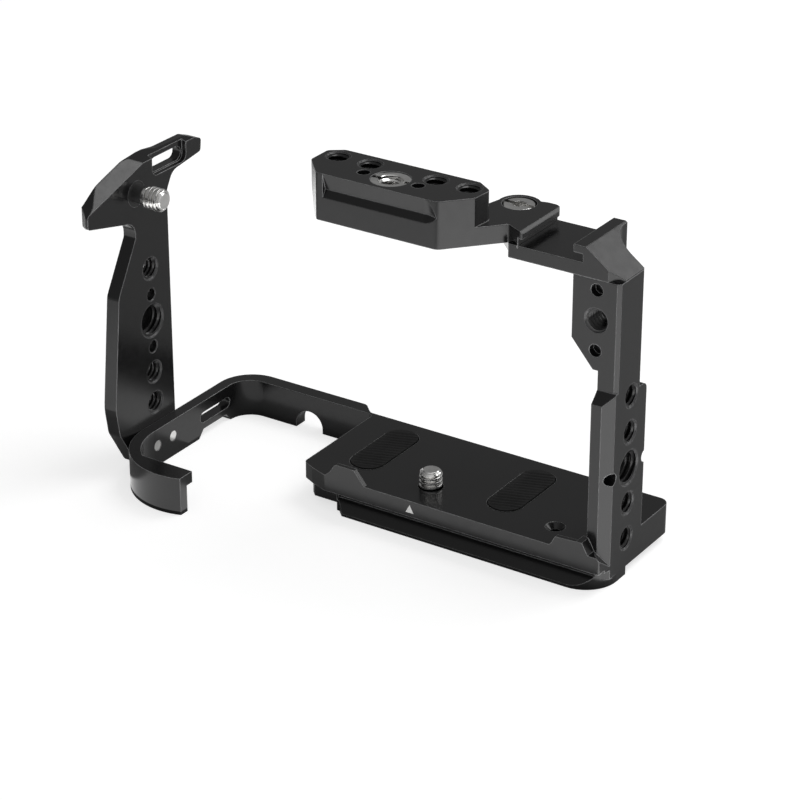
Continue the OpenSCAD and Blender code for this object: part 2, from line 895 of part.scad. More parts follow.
// Slanted corner of the seat in front of the column
module seat_scoop() {
    intersection() {
        translate([right_face, base_front, -scoop_set])
            rotate([0, scoop_tilt, scoop_heading])
                translate([-scoop_reach, -scoop_reach, 0])
                    cube(scoop_reach * 2);
        translate([0, 0, -base_thickness])
            linear_extrude(base_thickness + over)
                polygon(scoop_plan);
    }
    // Web in front of the slanted edge, down to the seat
    linear_extrude(lip_height)
        polygon(scoop_plan);
}

module main_frame() {
    color(anodised)
        difference() {
            union() {
                base_body();
                front_lips();
                band();
                hook();
                column();
            }
            seat_scoop();
            right_face_holes();
            front_face_holes();
            band_cuts();
            seat_cuts();
            bar_joint_cuts();
        }
}

// Threaded and locating holes of the side plate, as [height, radius]
plate_holes = [
    [plate_middle + hole_pitch * 1.52, screw_radius],
    [plate_middle + plate_pin_spacing, pin_diameter / 2],
    [plate_middle - plate_pin_spacing, pin_diameter / 2],
    [plate_middle - hole_pitch * 1.52, screw_radius],
    [plate_middle - hole_pitch * 2.435, screw_radius],
];

// Slanted faces along the top of the arm and at its tip
module arm_facets() {
    translate([0, front_end, tip_z + facet_rise])
        rotate([facet_slope, 0, 0])
            rotate([0, facet_fall, 0])
                translate([-arm_length, -arm_length, 0])
                    cube([arm_length * 2, arm_length * 2, arm_length]);
    translate([0, front_end, tip_z + ledge_rise])
        rotate([0, ledge_fall, 0])
            translate([-arm_length, -over, 0])
                cube([arm_length * 2, arm_length + over * 2, arm_length]);
    translate([-tip_cut, front_end, tip_z - arm_rise / 2])
        rotate([0, 0, -tip_turn])
            translate([-arm_length, -arm_length, 0])
                cube([arm_length * 2, arm_length, arm_rise * 2]);
}

module side_plate() {
    color(anodised)
        difference() {
            along_x(rounded(plate_outline), plate_outer, plate_thickness);
            for (hole = plate_holes)
                bore_x([0, plate_hole_y, hole.x], hole.y, plate_thickness + over);
            // Larger hole, closed by a thin skin
            bore_x([0, plate_hole_y, plate_middle], big_radius, plate_thickness - plate_skin);
            // Strap slot and the open pocket around it
            translate([plate_outer - over, strap_y, strap_z])
                rotate([0, 90, 0])
                    obround(strap_height, strap_length, plate_thickness + over * 2);
            along_x(rounded([
                [strap_y - strap_pocket / 2, tip_z + strap_sill, arm_round * 2],
                [strap_y + strap_pocket / 2, tip_z + strap_sill, arm_round * 2],
                [strap_y + strap_pocket / 2, tip_z + arm_rise + over, 0],
                [strap_y - strap_pocket / 2, tip_z + arm_rise + over, 0],
            ]), -strap_rim, strap_rim + over);
            arm_facets();
            // Seat of the side screw and its sleeve
            translate([plate_outer - over, side_y, side_z])
                rotate([0, 90, 0]) {
                    cylinder(h = plate_thickness + over * 2, d = sleeve_diameter);
                    cylinder(h = side_head_height + turn_gap + over, d = side_head_diameter + turn_gap * 4);
                }
            // Seats of the two plate screws
            for (y = plate_screw_y)
                translate([plate_outer - over, y, -plate_screw_z])
                    rotate([0, 90, 0]) {
                        cylinder(h = plate_thickness + over * 2, d = plate_screw_diameter);
                        cylinder(h = plate_head_height + over, d = plate_head_diameter);
                    }
        }
}

module side_plate_screws() {
    color(steel)
        for (y = plate_screw_y)
            translate([plate_outer, y, -plate_screw_z])
                rotate([0, 90, 0])
                    difference() {
                        union() {
                            cylinder(h = plate_thickness + band_side - tip_recess, d = plate_screw_diameter);
                            cylinder(h = plate_head_height, d = plate_head_diameter);
                        }
                        socket(plate_screw_diameter * 0.6, plate_head_height * 0.6);
                    }
}

// Six-sided key socket that opens at the origin, going up
module socket(width, depth) {
    translate([0, 0, -over])
        linear_extrude(depth + over)
            polygon([for (k = [0:5]) [cos(k * 60), sin(k * 60)] * width / 2]);
}

module top_bar() {
    color(anodised)
        difference() {
            union() {
                intersection() {
                    translate([0, 0, column_top])
                        linear_extrude(shoe_top - column_top)
                            polygon(rounded(bar_plan));
                    along_y(bar_view, upper_front, bar_depth);
                }
                translate([lobe_x, lobe_y, column_top])
                    cylinder(h = bar_thickness, r = lobe_radius);
                box([tenon_left, tenon_front, tenon_under],
                    [tenon_left + tenon_width, tenon_rear, column_top + edge_chamfer]);
            }
            // Pocket that keys the arm
            translate([0, 0, arm_under])
                linear_extrude(shoe_gap)
                    intersection() {
                        arm_shape();
                        translate([lobe_x - lobe_radius * 3, upper_front - over])
                            square([shoe_left - lobe_x + lobe_radius * 3, bar_depth + over * 2]);
                    }
            translate([lobe_x, lobe_y, column_top - over])
                cylinder(h = bar_thickness + over * 2, r = block_shank / 2 + turn_gap);
            for (x = bar_screw_x)
                translate([x, tenon_rear + over, bar_screw_z])
                    rotate([90, 0, 0])
                        cylinder(h = over + tenon_depth * 0.75, d = bar_screw_diameter);
        }
}

module top_bar_screws() {
    color(steel)
        for (x = bar_screw_x)
            translate([x, upper_rear - edge_chamfer, bar_screw_z])
                rotate([90, 0, 0])
                    difference() {
                        union() {
                            cylinder(h = upper_rear - edge_chamfer - tenon_rear + tenon_depth * 0.75,
                                d = bar_screw_diameter);
                            cylinder(h = bar_head_height, d = bar_head_diameter);
                        }
                        socket(bar_screw_diameter * 0.83, bar_head_height * 0.6);
                    }
}

// Plan of the arm with the round lobe
module arm_shape() {
    polygon(rounded(arm_plan));
    translate([lobe_x, lobe_y])
        circle(r = lobe_radius);
}

// One V groove cutter, a flat double cone
module groove_cutter() {
    low = groove_low;
    middle = low + (top_end - low) * 0.3;
    translate([0, 0, low])
        cylinder(h = middle - low, r1 = cutter_radius, r2 = cutter_radius + block_groove);
    translate([0, 0, middle])
        cylinder(h = top_end - middle, r1 = cutter_radius + block_groove, r2 = cutter_radius);
}

module front_band() {
    low = groove_low;
    middle = low + (top_end - low) * 0.3;
    along_x([
        [block_front - over, low - over * 1.6],
        [block_front, low],
        [block_front + block_groove, middle],
        [block_front, top_end],
        [block_front - over, top_end + over * 0.5],
    ], block_left + block_cut * 1.2, diag_x - block_left - block_cut * 1.8);
    translate([diag_x - block_cut * 0.6, block_front - cutter_radius, 0])
        groove_cutter();
}

module handle_block() {
    color(anodised)
        difference() {
            union() {
                translate([0, 0, arm_under])
                    linear_extrude(top_end - arm_under)
                        polygon(rounded(block_plan));
                translate([0, 0, arm_under])
                    linear_extrude(shoe_top - arm_under)
                        arm_shape();
            }
            front_band();
            // Room under the left shoe lip
            box([shoe_left, tongue_front - over, arm_under - over],
                [tongue_right + over, bar_rear + over, lip_under]);
            // Light slanted edge along the tongue
            along_y([
                [tongue_right - tongue_chamfer, shoe_top],
                [tongue_right - tongue_chamfer, shoe_top + over],
                [tongue_right + over, shoe_top + over],
                [tongue_right + over, shoe_top - tongue_chamfer],
                [tongue_right, shoe_top - tongue_chamfer],
            ], tongue_front - over, bar_depth + over * 3);
            // Slanted left end
            along_y([
                [block_left - over, arm_under - over],
                [block_left - over, arm_under + block_face],
                [block_left, arm_under + block_face],
                [block_left + block_cut * 0.5, arm_under],
                [block_left + block_cut * 0.5, arm_under - over],
            ], block_front - over, block_depth + over * 2);
            for (step = [-2, -1, 1, 2])
                bore_z([insert_x + step * block_hole_spacing, block_hole_y, top_end], screw_radius,
                    top_end - arm_under + over);
            for (side = [-1, 1])
                bore_z([insert_x + side * block_pin_spacing, insert_y, top_end], pin_diameter / 2,
                    pin_depth, false);
            translate([insert_x, insert_y, arm_under - over])
                cylinder(h = top_end - arm_under + over, r = screw_radius);
            translate([insert_x, insert_y, top_end - insert_length - insert_recess])
                cylinder(h = insert_length + insert_recess, r = big_radius);
            translate([insert_x, insert_y, top_end - insert_flange - insert_recess])
                cylinder(h = insert_flange + insert_recess + over, d = insert_diameter);
            // Seat of the block screw
            translate([lobe_x, lobe_y, arm_under - over])
                cylinder(h = top_end, r = block_shank / 2 + turn_gap);
            translate([lobe_x, lobe_y, head_seat - turn_gap])
                cylinder(h = top_end, r = block_head_diameter / 2 + turn_gap);
        }
}

module block_screw() {
    color(steel)
        translate([lobe_x, lobe_y, 0])
            difference() {
                union() {
                    translate([0, 0, column_top + edge_chamfer])
                        cylinder(h = head_seat - column_top, d = block_shank);
                    translate([0, 0, head_seat])
                        cylinder(h = block_head_height - edge_chamfer, d = block_head_diameter);
                    translate([0, 0, head_seat + block_head_height - edge_chamfer])
                        cylinder(h = edge_chamfer, d1 = block_head_diameter,
                            d2 = block_head_diameter - edge_chamfer * 2);
                }
                box([-block_head_diameter, -coin_slot / 2, head_seat + block_head_height * 0.6],
                    [block_head_diameter, coin_slot / 2, head_seat + block_head_height + over]);
                translate([0, 0, head_seat + block_head_height])
                    mirror([0, 0, 1])
                        socket(block_shank * 0.8, block_head_height * 0.8);
            }
}

module reducer_bushing() {
    color(steel)
        translate([insert_x, insert_y, 0])
            difference() {
                union() {
                    translate([0, 0, top_end - insert_length - insert_recess])
                        cylinder(h = insert_length, r = big_radius);
                    translate([0, 0, top_end - insert_flange - insert_recess])
                        cylinder(h = insert_flange, d = insert_diameter);
                }
                bore_z([0, 0, top_end - insert_recess], screw_radius, insert_length + over);
                for (side = [0, 1])
                    rotate([0, 0, insert_turn + side * 180])
                        box([screw_radius * 0.5, -coin_slot / 2,
                            top_end - insert_flange - insert_recess - coin_slot],
                            [insert_diameter, coin_slot / 2, top_end]);
            }
}

module camera_screw() {
    color(steel)
        translate([camera_x, camera_y, 0])
            difference() {
                union() {
                    translate([0, 0, head_top - camera_head_height])
                        cylinder(h = camera_head_height, d = camera_head_diameter);
                    translate([0, 0, head_top - edge_chamfer])
                        cylinder(h = edge_chamfer * 2 - head_top, d = camera_neck);
                    translate([0, 0, neck_rise])
                        cylinder(h = camera_screw_proud - neck_rise - thread_tip, r = screw_radius);
                    translate([0, 0, camera_screw_proud - thread_tip])
                        cylinder(h = thread_tip, r1 = screw_radius, r2 = screw_radius - thread_tip * 0.8);
                }
                box([-camera_head_diameter, -coin_slot / 2, head_top - camera_head_height - over],
                    [camera_head_diameter, coin_slot / 2, head_top - camera_head_height * 0.55]);
            }
}

module pad(x) {
    color(rubber)
        translate([base_left + x, pads_y, -pad_pocket])
            obround(pad_width, pad_length, pad_thickness);
}

module pad_left() {
    pad(pad_left_x);
}

module pad_right() {
    pad(pad_right_x);
}

module side_lock_screw() {
    color(steel)
        translate([plate_outer, side_y, side_z])
            rotate([0, 90, 0])
                difference() {
                    union() {
                        cylinder(h = side_head_height, d = side_head_diameter);
                        cylinder(h = plate_thickness + sleeve_proud + edge_chamfer,
                            d = sleeve_bore - turn_gap * 2);
                        translate([0, 0, plate_thickness + sleeve_proud + turn_gap * 2])
                            cylinder(h = side_screw_proud - sleeve_proud - turn_gap * 2 - thread_tip * 0.5,
                                r = screw_radius);
                        translate([0, 0, plate_thickness + side_screw_proud - thread_tip * 0.5])
                            cylinder(h = thread_tip * 0.5, r1 = screw_radius,
                                r2 = screw_radius - thread_tip * 0.4);
                    }
                    socket(sleeve_bore, side_head_height * 0.8);
                }
}

module side_screw_sleeve() {
    color(nylon)
        translate([side_head_top + turn_gap * 2, side_y, side_z])
            rotate([0, 90, 0])
                difference() {
                    union() {
                        cylinder(h = -side_head_top - turn_gap * 3, d = sleeve_diameter);
                        cylinder(h = sleeve_proud - side_head_top - turn_gap * 2, d = sleeve_nose);
                    }
                    translate([0, 0, -over])
                        cylinder(h = sleeve_proud - side_head_top + over * 2, d = sleeve_bore);
                }
}

// Move every part from the drawing to the shared origin
module placed() {
    translate([-right_face / 2 + plate_thickness / 2, cage_depth / 2, seat_height])
        children();
}

placed() main_frame();
placed() side_plate();
placed() side_plate_screws();
placed() top_bar();
placed() top_bar_screws();
placed() handle_block();
placed() block_screw();
placed() reducer_bushing();
placed() camera_screw();
placed() pad_left();
placed() pad_right();
placed() side_lock_screw();
placed() side_screw_sleeve();
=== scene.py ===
"""Looks of the camera cage: a black anodised frame with silver screws, ribbed pads and real threads.

Everything is in metres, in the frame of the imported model. The cage stands on its dovetail foot at Z = 0,
the camera inside it looks along -Y, and the column with the threaded holes is at +X.
"""

import json
import logging
import math
from dataclasses import dataclass, field
from enum import Enum

import bmesh
import bpy
from mathutils import Matrix, Vector

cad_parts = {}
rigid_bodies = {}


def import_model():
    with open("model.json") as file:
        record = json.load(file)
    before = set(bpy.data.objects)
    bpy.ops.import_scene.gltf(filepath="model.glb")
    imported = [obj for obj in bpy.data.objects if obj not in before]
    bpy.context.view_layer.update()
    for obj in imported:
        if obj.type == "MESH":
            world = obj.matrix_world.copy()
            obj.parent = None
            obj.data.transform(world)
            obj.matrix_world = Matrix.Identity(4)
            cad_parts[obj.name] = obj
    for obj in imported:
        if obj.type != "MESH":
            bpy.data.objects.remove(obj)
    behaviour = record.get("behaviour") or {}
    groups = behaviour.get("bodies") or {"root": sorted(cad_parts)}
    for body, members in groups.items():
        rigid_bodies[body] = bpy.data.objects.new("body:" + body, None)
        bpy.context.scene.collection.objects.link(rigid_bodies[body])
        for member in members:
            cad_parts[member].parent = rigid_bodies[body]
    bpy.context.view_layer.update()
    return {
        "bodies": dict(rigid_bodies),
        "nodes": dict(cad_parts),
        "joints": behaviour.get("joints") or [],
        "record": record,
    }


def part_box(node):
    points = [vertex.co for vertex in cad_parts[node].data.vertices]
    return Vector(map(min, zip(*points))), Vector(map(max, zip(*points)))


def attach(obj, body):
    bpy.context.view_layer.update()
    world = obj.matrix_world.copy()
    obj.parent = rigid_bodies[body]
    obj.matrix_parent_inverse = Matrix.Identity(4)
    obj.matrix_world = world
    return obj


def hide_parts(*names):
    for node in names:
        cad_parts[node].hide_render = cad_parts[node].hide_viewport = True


LOG = logging.getLogger("camera_cage")
MM = 0.001
FRAME_BODY = "frame"
MERGE_DISTANCE = 0.000002

Point = tuple[float, float, float]
Colour = tuple[float, float, float]


class Axis(Enum):
    """A direction of the cage's frame, as a unit vector."""

    LEFT = (-1.0, 0.0, 0.0)
    RIGHT = (1.0, 0.0, 0.0)
    FRONT = (0.0, -1.0, 0.0)
    UP = (0.0, 0.0, 1.0)

    def vector(self) -> Vector:
        """The axis as a vector."""
        return Vector(self.value)

    def turn(self) -> Matrix:
        """The rotation that brings +Z onto the axis."""
        return self.vector().to_track_quat("Z", "Y").to_matrix().to_4x4()


class Board:
    """A small helper that lays out the shader nodes of one material."""

    def __init__(self, name: str) -> None:
        """Starts an empty material.

        Args:
            name: Name of the material.
        """
        self.material = bpy.data.materials.new(name)
        self.material.use_nodes = True
        self.tree = self.material.node_tree
        self.tree.nodes.clear()
        self.output = self.add("ShaderNodeOutputMaterial")

    def add(self, kind: str, **settings: object) -> bpy.types.Node:
        """Adds a node.

        Args:
            kind: Blender's name of the node type.
            **settings: Node properties by name.

        Returns:
            The new node.
        """
        made = self.tree.nodes.new(kind)
        for name, value in settings.items():
            setattr(made, name, value)
        return made

    def link(self, source: bpy.types.NodeSocket, target: bpy.types.NodeSocket) -> None:
        """Joins an output to an input."""
        self.tree.links.new(source, target)

    def place(self, centre: Point = (0.0, 0.0, 0.0), turn: Point = (0.0, 0.0, 0.0)) -> bpy.types.NodeSocket:
        """Object coordinates, centred and turned for one piece.

        Args:
            centre: Point of the piece that becomes the pattern's origin.
            turn: Rotation of the pattern, in radians.

        Returns:
            The vector output.
        """
        coordinates = self.add("ShaderNodeTexCoord")
        mapping = self.add("ShaderNodeMapping", vector_type="TEXTURE")
        mapping.inputs["Location"].default_value = centre
        mapping.inputs["Rotation"].default_value = turn
        self.link(coordinates.outputs["Object"], mapping.inputs["Vector"])
        return mapping.outputs["Vector"]

    def noise(self, vector: bpy.types.NodeSocket, scale: float, detail: float = 2.0) -> bpy.types.NodeSocket:
        """Noise of a given number of grains in a metre.

        Args:
            vector: Coordinates to read.
            scale: Grains in a metre.
            detail: Octaves of the noise.

        Returns:
            The value output.
        """
        made = self.add("ShaderNodeTexNoise")
        made.inputs["Scale"].default_value = scale
        made.inputs["Detail"].default_value = detail
        self.link(vector, made.inputs["Vector"])
        return made.outputs["Fac"]

    def spread(self, value: bpy.types.NodeSocket, low: float, high: float,
               source_low: float = 0.3, source_high: float = 0.7) -> bpy.types.NodeSocket:
        """Maps a value from one range to another.

        Args:
            value: Value to map.
            low: Result at the low end.
            high: Result at the high end.
            source_low: Low end of the value.
            source_high: High end of the value.

        Returns:
            The mapped value.
        """
        made = self.add("ShaderNodeMapRange")
        made.inputs["From Min"].default_value = source_low
        made.inputs["From Max"].default_value = source_high
        made.inputs["To Min"].default_value = low
        made.inputs["To Max"].default_value = high
        self.link(value, made.inputs["Value"])
        return made.outputs["Result"]

    def mix(self, share: bpy.types.NodeSocket, first: Colour, second: Colour) -> bpy.types.NodeSocket:
        """Mixes two colours by a value.

        Args:
            share: Share of the second colour.
            first: Colour at 0.
            second: Colour at 1.

        Returns:
            The colour output.
        """
        made = self.add("ShaderNodeMix", data_type="RGBA")
        for socket in made.inputs:
            if socket.type == "RGBA" and socket.name == "A":
                socket.default_value = (*first, 1.0)
            if socket.type == "RGBA" and socket.name == "B":
                socket.default_value = (*second, 1.0)
        self.link(share, made.inputs["Factor"])
        return next(socket for socket in made.outputs if socket.type == "RGBA")

    def bump(self, height: bpy.types.NodeSocket, depth: float, strength: float,
             normal: bpy.types.NodeSocket | None = None) -> bpy.types.NodeSocket:
        """Bumps the surface by a height.

        Args:
            height: Height from 0 to 1.
            depth: Depth of the full height, in metres.
            strength: Strength of the bump.
            normal: Normal to start from.

        Returns:
            The new normal.
        """
        made = self.add("ShaderNodeBump")
        made.inputs["Strength"].default_value = strength
        made.inputs["Distance"].default_value = depth
        self.link(height, made.inputs["Height"])
        if normal is not None:
            self.link(normal, made.inputs["Normal"])
        return made.outputs["Normal"]

    def shader(self, metallic: float, ior: float) -> bpy.types.Node:
        """The Principled shader, joined to the output.

        Args:
            metallic: Metallic value.
            ior: Index of refraction.

        Returns:
            The shader node.
        """
        made = self.add("ShaderNodeBsdfPrincipled")
        made.inputs["Metallic"].default_value = metallic
        made.inputs["IOR"].default_value = ior
        self.link(made.outputs["BSDF"], self.output.inputs["Surface"])
        return made


@dataclass(frozen=True)
class AnodisedFinish:
    """Bead-blasted black anodised aluminium, with its edges painted lighter as a painted highlight where the
    bevel rounds them.
    """

    name: str
    dark: Colour = (0.004, 0.004, 0.0042)
    light: Colour = (0.0065, 0.0065, 0.0067)
    # Painted highlight: the light grey that the rounded edges are painted in.
    edge_highlight: Colour = (0.34, 0.34, 0.345)
    ior: float = 1.47
    smooth: float = 0.19
    rough: float = 0.25
    edge: float = 0.4 * MM
    edge_samples: int = 6
    grain_scale: float = 5200.0
    grain_depth: float = 0.006 * MM
    patch_scale: float = 420.0
    cloud_scale: float = 26.0
    highlight_start: float = 0.985
    highlight_full: float = 0.82
    highlight_least: float = 0.55
    bump: float = 0.5

    def build(self) -> bpy.types.Material:
        """Builds the material."""
        board = Board(self.name)
        place = board.place()
        grain = board.noise(place, self.grain_scale, 3.0)
        patch = board.noise(place, self.patch_scale, 3.0)
        cloud = board.noise(place, self.cloud_scale, 2.0)
        rounded = board.add("ShaderNodeBevel", samples=self.edge_samples)
        rounded.inputs["Radius"].default_value = self.edge
        flat = board.add("ShaderNodeNewGeometry")
        facing = board.add("ShaderNodeVectorMath", operation="DOT_PRODUCT")
        board.link(rounded.outputs["Normal"], facing.inputs[0])
        board.link(flat.outputs["Normal"], facing.inputs[1])
        # Painted highlight: where the bevelled normal turns away from the flat one, the colour goes in
        # patches towards the light edge grey.
        highlight_share = board.spread(facing.outputs["Value"], 1.0, 0.0, self.highlight_full, self.highlight_start)
        patchy_highlight = board.add("ShaderNodeMath", operation="MULTIPLY")
        board.link(highlight_share, patchy_highlight.inputs[0])
        board.link(board.spread(patch, self.highlight_least, 1.0), patchy_highlight.inputs[1])
        base = board.mix(board.spread(cloud, 0.0, 1.0), self.dark, self.light)
        edged = board.add("ShaderNodeMix", data_type="RGBA")
        board.link(patchy_highlight.outputs["Value"], edged.inputs["Factor"])
        colours = [socket for socket in edged.inputs if socket.type == "RGBA"]
        board.link(base, colours[0])
        colours[1].default_value = (*self.edge_highlight, 1.0)
        shader = board.shader(0.0, self.ior)
        board.link(next(s for s in edged.outputs if s.type == "RGBA"), shader.inputs["Base Color"])
        board.link(board.spread(patch, self.smooth, self.rough), shader.inputs["Roughness"])
        normal = board.bump(grain, self.grain_depth, self.bump, rounded.outputs["Normal"])
        board.link(normal, shader.inputs["Normal"])
        return board.material


@dataclass(frozen=True)
class TurnedSteelFinish:
    """Bright stainless steel with fine rings from the lathe."""

    name: str
    centre: Point
    turn: Point = (0.0, 0.0, 0.0)
    dark: Colour = (0.68, 0.675, 0.665)
    light: Colour = (0.86, 0.855, 0.84)
    smooth: float = 0.12
    rough: float = 0.2
    ring_scale: float = 900.0
    ring_depth: float = 0.01 * MM
    stain_scale: float = 350.0
    ring_wander: float = 1.5
    edge: float = 0.12 * MM
    edge_samples: int = 4
    ior: float = 2.5
    bump: float = 0.4

    def build(self) -> bpy.types.Material:
        """Builds the material."""
        board = Board(self.name)
        place = board.place(self.centre, self.turn)
        rings = board.add("ShaderNodeTexWave", wave_type="RINGS", rings_direction="Z")
        rings.inputs["Scale"].default_value = self.ring_scale
        rings.inputs["Distortion"].default_value = self.ring_wander
        rings.inputs["Detail"].default_value = 3.0
        board.link(place, rings.inputs["Vector"])
        stain = board.noise(place, self.stain_scale, 3.0)
        rounded = board.add("ShaderNodeBevel", samples=self.edge_samples)
        rounded.inputs["Radius"].default_value = self.edge
        shader = board.shader(1.0, self.ior)
        base = board.mix(board.spread(stain, 0.0, 1.0), self.dark, self.light)
        board.link(base, shader.inputs["Base Color"])
        board.link(board.spread(stain, self.rough, self.smooth), shader.inputs["Roughness"])
        normal = board.bump(rings.outputs["Fac"], self.ring_depth, self.bump, rounded.outputs["Normal"])
        board.link(normal, shader.inputs["Normal"])
        return board.material


@dataclass(frozen=True)
class RubberFinish:
    """Matte black rubber with a fine moulded grain and a little dust."""

    name: str
    dark: Colour = (0.0035, 0.0035, 0.0035)
    dusty: Colour = (0.009, 0.009, 0.0088)
    smooth: float = 0.6
    rough: float = 0.8
    specular: float = 0.32
    grain_scale: float = 3600.0
    grain_depth: float = 0.03 * MM
    dust_scale: float = 260.0
    dust_start: float = 0.45
    dust_full: float = 0.75
    ior: float = 1.5
    bump: float = 0.5

    def build(self) -> bpy.types.Material:
        """Builds the material."""
        board = Board(self.name)
        place = board.place()
        grain = board.noise(place, self.grain_scale, 2.0)
        dust = board.noise(place, self.dust_scale, 4.0)
        shader = board.shader(0.0, self.ior)
        shader.inputs["Specular IOR Level"].default_value = self.specular
        share = board.spread(dust, 0.0, 1.0, self.dust_start, self.dust_full)
        board.link(board.mix(share, self.dark, self.dusty), shader.inputs["Base Color"])
        board.link(board.spread(dust, self.smooth, self.rough), shader.inputs["Roughness"])
        board.link(board.bump(grain, self.grain_depth, self.bump), shader.inputs["Normal"])
        return board.material


@dataclass(frozen=True)
class NylonFinish:
    """Plain black nylon with faint turning marks."""

    name: str
    dark: Colour = (0.01, 0.01, 0.01)
    light: Colour = (0.022, 0.022, 0.022)
    grain_scale: float = 2400.0
    grain_depth: float = 0.02 * MM
    smooth: float = 0.4
    rough: float = 0.55
    ior: float = 1.53
    bump: float = 0.4

    def build(self) -> bpy.types.Material:
        """Builds the material."""
        board = Board(self.name)
        grain = board.noise(board.place(), self.grain_scale, 2.0)
        shader = board.shader(0.0, self.ior)
        base = board.mix(board.spread(grain, 0.0, 1.0), self.dark, self.light)
        board.link(base, shader.inputs["Base Color"])
        board.link(board.spread(grain, self.smooth, self.rough), shader.inputs["Roughness"])
        board.link(board.bump(grain, self.grain_depth, self.bump), shader.inputs["Normal"])
        return board.material


@dataclass(frozen=True)
class PaintFinish:
    """White marking paint, a little uneven."""

    name: str
    thin: Colour = (0.66, 0.66, 0.65)
    full: Colour = (0.82, 0.82, 0.81)
    grain_scale: float = 5000.0
    grain_depth: float = 0.01 * MM
    smooth: float = 0.4
    rough: float = 0.55
    ior: float = 1.5
    bump: float = 0.3

    def build(self) -> bpy.types.Material:
        """Builds the material."""
        board = Board(self.name)
        grain = board.noise(board.place(), self.grain_scale, 3.0)
        shader = board.shader(0.0, self.ior)
        base = board.mix(board.spread(grain, 0.0, 1.0), self.thin, self.full)
        board.link(base, shader.inputs["Base Color"])
        board.link(board.spread(grain, self.smooth, self.rough), shader.inputs["Roughness"])
        board.link(board.bump(grain, self.grain_depth, self.bump), shader.inputs["Normal"])
        return board.material


@dataclass(frozen=True)
class ThreadForm:
    """Sizes of one screw thread, in metres."""

    pitch: float
    major: float
    minor: float
    steps: int = 40
    root_share: float = 0.47
    crest_share: float = 0.09

    def profile(self, root: float, crest: float, height: float) -> list[Point]:
        """Corners of the ridge's section in the XZ plane.

        Args:
            root: Radius at which the ridge starts.
            crest: Radius of its crest.
            height: Height of its middle.

        Returns:
            Four corners.
        """
        wide, narrow = self.pitch * self.root_share, self.pitch * self.crest_share
        return [(root, 0.0, height - wide), (crest, 0.0, height - narrow),
                (crest, 0.0, height + narrow), (root, 0.0, height + wide)]


QUARTER = ThreadForm(pitch=1.27 * MM, major=3.175 * MM, minor=2.5 * MM)
SCREW = ThreadForm(pitch=1.27 * MM, major=3.175 * MM, minor=2.5 * MM,
                   root_share=0.46, crest_share=0.2)
THREE_EIGHTHS = ThreadForm(pitch=1.5875 * MM, major=4.765 * MM, minor=3.95 * MM, steps=48)


class Shaper:
    """Mesh steps that several pieces share."""

    @staticmethod
    def coil(form: ThreadForm, root: float, crest: float, low: float, high: float) -> bmesh.types.BMesh:
        """A helical ridge about +Z, cut flat at both ends.

        Args:
            form: Thread to follow.
            root: Radius of the ridge's foot.
            crest: Radius of its crest.
            low: Height of the lower end.
            high: Height of the upper end.

        Returns:
            A new mesh.
        """
        made = bmesh.new()
        corners = [made.verts.new(p) for p in form.profile(root, crest, low - form.pitch / 2)]
        face = made.faces.new(corners)
        steps = math.ceil((high - low + form.pitch) / form.pitch * form.steps)
        bmesh.ops.spin(made, geom=[*corners, *face.edges, face], cent=(0, 0, 0), axis=(0, 0, 1),
                       dvec=(0, 0, form.pitch / form.steps), angle=math.tau * steps / form.steps,
                       steps=steps, use_merge=False)
        bmesh.ops.remove_doubles(made, verts=made.verts, dist=MERGE_DISTANCE)
        Shaper.cut(made, Vector((0, 0, low)), Vector((0, 0, -1)))
        Shaper.cut(made, Vector((0, 0, high)), Vector((0, 0, 1)))
        bmesh.ops.recalc_face_normals(made, faces=made.faces)
        return made

    @staticmethod
    def cut(mesh: bmesh.types.BMesh, point: Vector, outward: Vector) -> None:
        """Cuts a mesh with a plane, clears the outer side and closes the cut.

        Args:
            mesh: Mesh to cut.
            point: Point of the plane.
            outward: Direction of the side that is cleared.
        """
        bmesh.ops.bisect_plane(mesh, geom=[*mesh.verts, *mesh.edges, *mesh.faces], dist=MERGE_DISTANCE / 4,
                               plane_co=point, plane_no=outward, clear_outer=True)
        bmesh.ops.holes_fill(mesh, edges=[e for e in mesh.edges if e.is_boundary], sides=0)

    @staticmethod
    def lathe(points: list[tuple[float, float]], steps: int = 72) -> bmesh.types.BMesh:
        """Turns a profile about +Z.

        Args:
            points: Profile as radius and height, from one end to the other.
            steps: Steps of a full turn.

        Returns:
            A new closed mesh.
        """
        made = bmesh.new()
        corners = [made.verts.new((radius, 0.0, height)) for radius, height in points]
        edges = [made.edges.new(pair) for pair in zip(corners, corners[1:])]
        bmesh.ops.spin(made, geom=[*corners, *edges], cent=(0, 0, 0), axis=(0, 0, 1), dvec=(0, 0, 0),
                       angle=math.tau, steps=steps, use_merge=True)
        bmesh.ops.remove_doubles(made, verts=made.verts, dist=MERGE_DISTANCE)
        bmesh.ops.recalc_face_normals(made, faces=made.faces)
        return made

    @staticmethod
    def merged_node(node: bpy.types.Object) -> bmesh.types.BMesh:
        """A merged copy of a CAD node.

        Args:
            node: CAD node to copy.

        Returns:
            A new mesh with its loose triangles joined.
        """
        made = bmesh.new()
        made.from_mesh(node.data)
        bmesh.ops.remove_doubles(made, verts=made.verts, dist=MERGE_DISTANCE)
        return made

    @staticmethod
    def join(target: bmesh.types.BMesh, part: bmesh.types.BMesh, move: Matrix | None = None) -> None:
        """Adds a mesh to another and frees it.

        Args:
            target: Mesh that takes the part.
            part: Mesh to add.
            move: Place of the part.
        """
        if move is not None:
            part.transform(move)
        scrap = bpy.data.meshes.new("scrap")
        part.to_mesh(scrap)
        part.free()
        target.from_mesh(scrap)
        bpy.data.meshes.remove(scrap)


